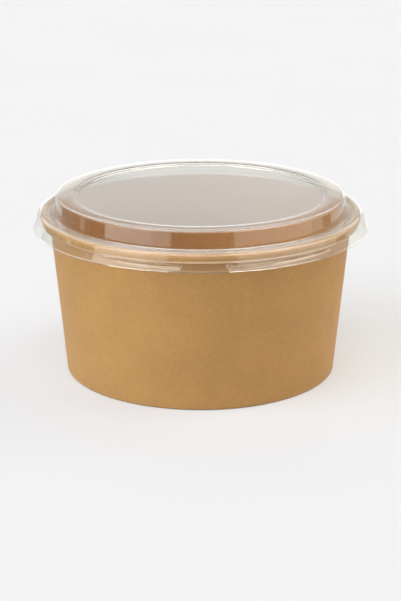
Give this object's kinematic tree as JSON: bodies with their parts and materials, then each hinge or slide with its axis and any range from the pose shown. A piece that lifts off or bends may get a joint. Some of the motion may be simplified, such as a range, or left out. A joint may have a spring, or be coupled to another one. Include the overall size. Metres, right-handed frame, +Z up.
{
  "type": "paper salad bowl with clear lid",
  "caption": "Empty round takeaway bowl of brown kraft board with a rolled rim and raised floor, closed by a clear lid that snaps over the rim and has a recessed panel.",
  "frame": {"origin": "centre of the bowl's foot, on the surface that it stands on", "axes": "+Z up along the bowl's turning axis; -Y is the side that faces the picture's camera"},
  "size_m": [0.1558, 0.1558, 0.0842],
  "materials": {
    "kraft_board": "matt uncoated brown kraft board with fine fibres and specks",
    "clear_film": "glossy clear thermoformed plastic sheet, 0.4 mm thick"
  },
  "bodies": {
    "root": {"bowl_wall": "kraft_board", "base_disc": "kraft_board", "lid": "clear_film"}
  },
  "joints": []
}
